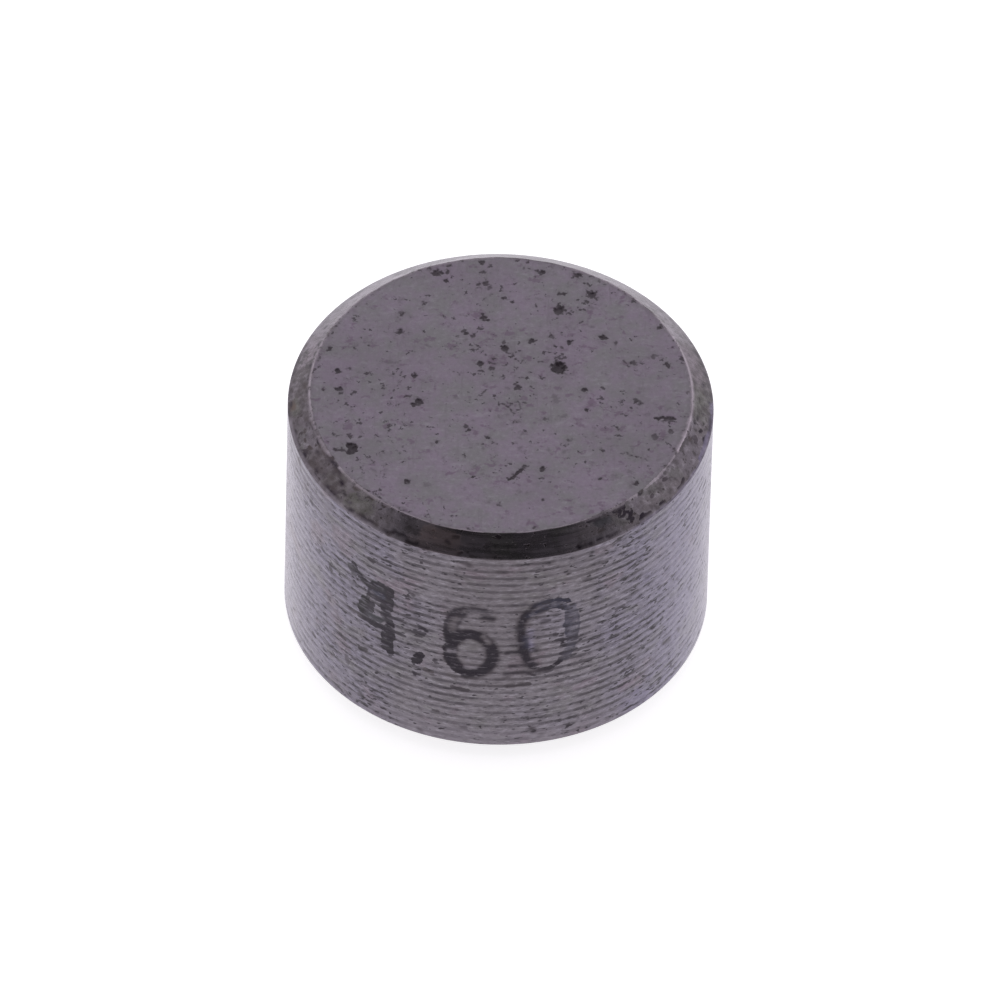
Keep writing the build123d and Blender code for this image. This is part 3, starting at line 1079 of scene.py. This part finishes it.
def paintShim(mesh, upper, lower):  # fills the two attributes that the finishes read
    places = readPlaces(mesh)
    layer = np.zeros((len(places), 5))  # tone, load and how far inside a mark
    layer[:, :3] = turnedSteel["grey"][:3]
    for strokes, top in ((upper, True), (lower, False)):
        chart = flatChart(places, turnedSide, top)
        paintMarks(layer, chart, halosOf(strokes), softness["halo"], 0.0, halo["reach"])
        if top:
            paintMarks(layer, chart, upperPatches, softness["patch"], 0.0, patchReach)
        paintMarks(layer, chart, strokes, softness["pit"], wander(chart[1], unevenSizes))
        if top:
            paintMarks(layer, chart, upperScuffs, softness["scuff"])
        sinkPits(mesh, places, chart, strokes, shimEnd, top)
        chart = chamferChart(places, turnedSide, top)
        if top:
            specks = scatterSpecks(upperBands, speck["upperSeed"]) + upperChamfer
            paintMarks(layer, chart, chamferStrokes(upperClouds, turnedSide), softness["cloud"])
        else:
            specks = scatterSpecks(lowerBands, speck["lowerSeed"])
        paintMarks(layer, chart, chamferStrokes(specks, turnedSide), softness["speck"])
    chart = sideChart(places, turnedSide)
    paintMarks(layer, chart, sideTonesAndSheen, softness["toneAndSheen"])
    for strokes in (sideRust, *sizeMark.values()):
        paintMarks(layer, chart, strokes, softness["ink"])
    mark = mesh.attributes.new("mark", "FLOAT_COLOR", "POINT")
    mark.data.foreach_set("color", layer[:, :4].ravel())
    covered = mesh.attributes.new("markReach", "FLOAT", "POINT")
    covered.data.foreach_set("value", layer[:, 4].copy())
    print("marks painted on the mesh")


def makeShim():
    finishes = [
        makeTurnedSteel(turnedSteel),
        makeChamferSteel(chamferSteel),
        makeGroundSteel(groundSteel),
    ]
    print("steel finishes:", len(finishes))
    slots = {"side": 0, "chamfer": 1, "flat": 2}
    sideMesh = makeTurnedSide(turnedSide, finishes[0])
    shape = bmesh.new()
    shape.from_mesh(sideMesh)
    for face in shape.faces:
        face.material_index = slots["side"]
    reach = (radius - turnedSide["chamferWidth"]) / mm
    upper = flatStrokes(upperPits, upperScores)
    print("marks on the upper flat:", len(upper))
    lower = flatStrokes(scatterPits(lowerPits, reach), [])
    addEnd(shape, shimEnd, turnedSide, upper, True, slots)
    addEnd(shape, shimEnd, turnedSide, lower, False, slots)
    bmesh.ops.remove_doubles(shape, verts=shape.verts, dist=weld)
    print("open or doubled edges:", sum(not edge.is_manifold for edge in shape.edges))
    mesh = bpy.data.meshes.new("valveShim")
    shape.to_mesh(mesh)
    shape.free()
    for finish in finishes:
        mesh.materials.append(finish)
    mesh.shade_smooth()
    paintShim(mesh, upper, lower)
    shim = bpy.data.objects.new("valveShim", mesh)
    bpy.context.scene.collection.objects.link(shim)
    triangles = sum(len(face.vertices) - 2 for face in mesh.polygons)
    print("shim:", triangles, "triangles")
    return shim


# Studio: a white floor under a white dome, with one dark opening that the camera looks through
studio = {
    "floorSize": 0.6,
    "floorGap": 0.01 * mm,  # keeps it clear of the lower flat
    "floorGrey": 0.85,
    "floorGlow": 0.7,
    "opening": (0.0, -0.54, 0.84),  # towards the dark opening
    "openingInner": 0.95,  # cosine where it is darkest
    "openingOuter": 0.52,
    "openingLight": 0.08,
    "openingFoot": (0.68, 0.82),  # how far forward the dome is light again below the opening
    "tint": (0.965, 0.925, 1.0, 1.0),  # the light is a little violet
}


def makeFloor(setup):
    half = setup["floorSize"] / 2
    z = boxLow.z - setup["floorGap"]
    mesh = bpy.data.meshes.new("floor")
    corners = [(-half, -half, z), (half, -half, z), (half, half, z), (-half, half, z)]
    mesh.from_pydata(corners, [], [(0, 1, 2, 3)])
    floor = bpy.data.objects.new("floor", mesh)
    bpy.context.scene.collection.objects.link(floor)
    material = bpy.data.materials.new("floorWhite")
    material.use_nodes = True
    material.node_tree.nodes.clear()
    graph = NodeGraph(material.node_tree)
    paint = graph.add("ShaderNodeBsdfDiffuse", {"Color": (setup["floorGrey"],) * 3 + (1.0,)})
    glow = graph.add("ShaderNodeEmission", {"Strength": setup["floorGlow"]})
    lit = graph.add("ShaderNodeAddShader")
    graph.feed(lit.inputs[0], paint.outputs[0])
    graph.feed(lit.inputs[1], glow.outputs[0])
    white = graph.add("ShaderNodeEmission", {"Color": setup["tint"], "Strength": 1.0})
    path = graph.add("ShaderNodeLightPath")
    mixed = graph.add("ShaderNodeMixShader", {"Fac": path.outputs["Is Glossy Ray"]})
    graph.feed(mixed.inputs[1], lit.outputs[0])
    graph.feed(mixed.inputs[2], white.outputs[0])
    graph.add("ShaderNodeOutputMaterial", {"Surface": mixed.outputs[0]})
    mesh.materials.append(material)


def makeDome(setup):
    world = bpy.data.worlds.new("studio")
    bpy.context.scene.world = world
    world.use_nodes = True
    world.node_tree.nodes.clear()
    graph = NodeGraph(world.node_tree)
    way = graph.add("ShaderNodeTexCoord").outputs["Generated"]
    aim = graph.add("ShaderNodeVectorMath", operation="DOT_PRODUCT")
    graph.feed(aim.inputs[0], way)
    aim.inputs[1].default_value = Vector(setup["opening"]).normalized()
    outer, inner = setup["openingOuter"], setup["openingInner"]
    dome = graph.ramp(aim.outputs["Value"], outer, inner, 1.0, setup["openingLight"])
    forward = graph.add("ShaderNodeSeparateXYZ", {"Vector": way}).outputs["Y"]
    near, far = setup["openingFoot"]
    dome = graph.math("MAXIMUM", dome, graph.ramp(forward, -near, -far))
    path = graph.add("ShaderNodeLightPath")
    seen = path.outputs["Is Camera Ray"]
    colour = graph.blend(seen, setup["tint"], (1.0, 1.0, 1.0, 1.0))
    strength = graph.math("MAXIMUM", dome, seen)
    light = graph.add("ShaderNodeBackground", {"Color": colour, "Strength": strength})
    graph.add("ShaderNodeOutputWorld", {"Surface": light.outputs[0]})


# Camera: the photograph's viewing angle, from far off through a long lens
view = {
    "elevation": 46.2,
    "roll": 1.54,
    "distance": 357.5 * mm,
    "scale": 65.34,  # pixels for each millimetre at the shim's middle
    "picture": 1000,  # pixels across
    "left": 1.8,  # pixels that the shim's middle lies left of the picture's
    "above": 1.2,
    "sensor": 36.0,
    "nearest": 10 * mm,
}


def makeCamera(setup):
    rise, roll = radians(setup["elevation"]), radians(setup["roll"])
    back = Vector((0, -cos(rise), sin(rise)))
    right, up = Vector((1, 0, 0)), Vector((0, sin(rise), cos(rise)))
    across = cos(roll) * right + sin(roll) * up
    over = cos(roll) * up - sin(roll) * right
    pixel = mm / setup["scale"]
    place = Vector((0, 0, middle)) + back * setup["distance"]
    place += across * setup["left"] * pixel - over * setup["above"] * pixel
    data = bpy.data.cameras.new("camera")
    data.sensor_width = setup["sensor"]
    data.lens = setup["scale"] * setup["distance"] / mm * setup["sensor"] / setup["picture"]
    data.clip_start = setup["nearest"]
    camera = bpy.data.objects.new("camera", data)
    bpy.context.scene.collection.objects.link(camera)
    turn = Matrix((across, over, back)).transposed().to_4x4()
    camera.matrix_world = Matrix.Translation(place) @ turn
    bpy.context.scene.camera = camera


makeCamera(view)
makeFloor(studio)
makeDome(studio)
print("studio ready")

shim = makeShim()
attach(shim, "root")
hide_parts("valve_shim")

bpy.context.scene.view_settings.view_transform = "Standard"
